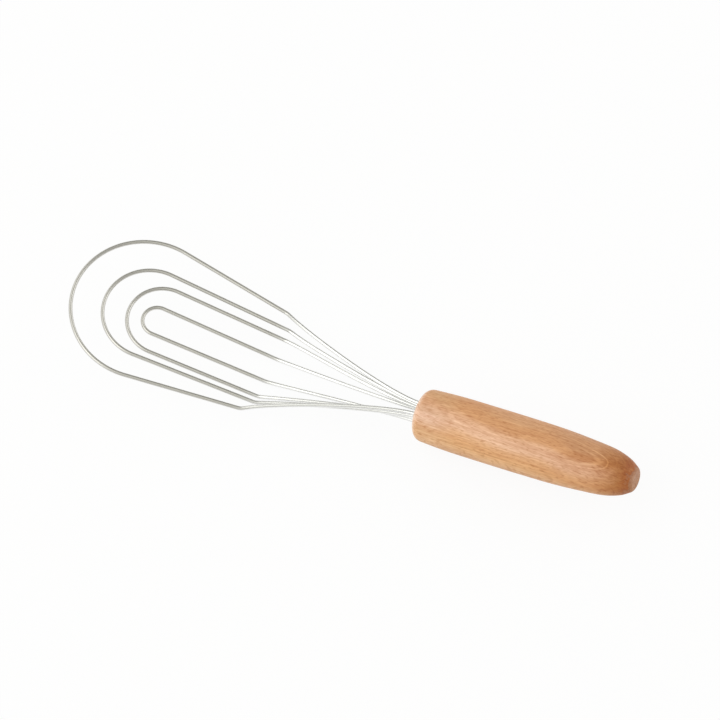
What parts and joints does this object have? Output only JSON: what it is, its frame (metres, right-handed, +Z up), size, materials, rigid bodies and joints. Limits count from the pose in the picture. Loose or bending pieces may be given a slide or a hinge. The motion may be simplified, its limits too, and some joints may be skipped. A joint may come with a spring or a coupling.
{
  "type": "flat whisk",
  "caption": "Flat whisk: nested stainless wire loops, stacked and angled, with their tails potted in a turned beech handle.",
  "frame": {"origin": "middle of the underside of the whole tool's box, as it lies on a table", "axes": "+X along the tool from the head towards the handle's butt, +Y across the head, +Z up. The tool lies on the inner loop's two kinks and the rim of the handle's mouth, so the front of the head is raised and the handle slopes up by 5.6 degrees"},
  "size_m": [0.293, 0.0738, 0.0336],
  "materials": {
    "beech": "satin",
    "wire": "satin",
    "resin": "gloss"
  },
  "bodies": {
    "root": {"handle": "beech", "outer_loop": "wire", "second_loop": "wire", "third_loop": "wire", "inner_loop": "wire", "potting_plug": "resin"}
  },
  "joints": []
}
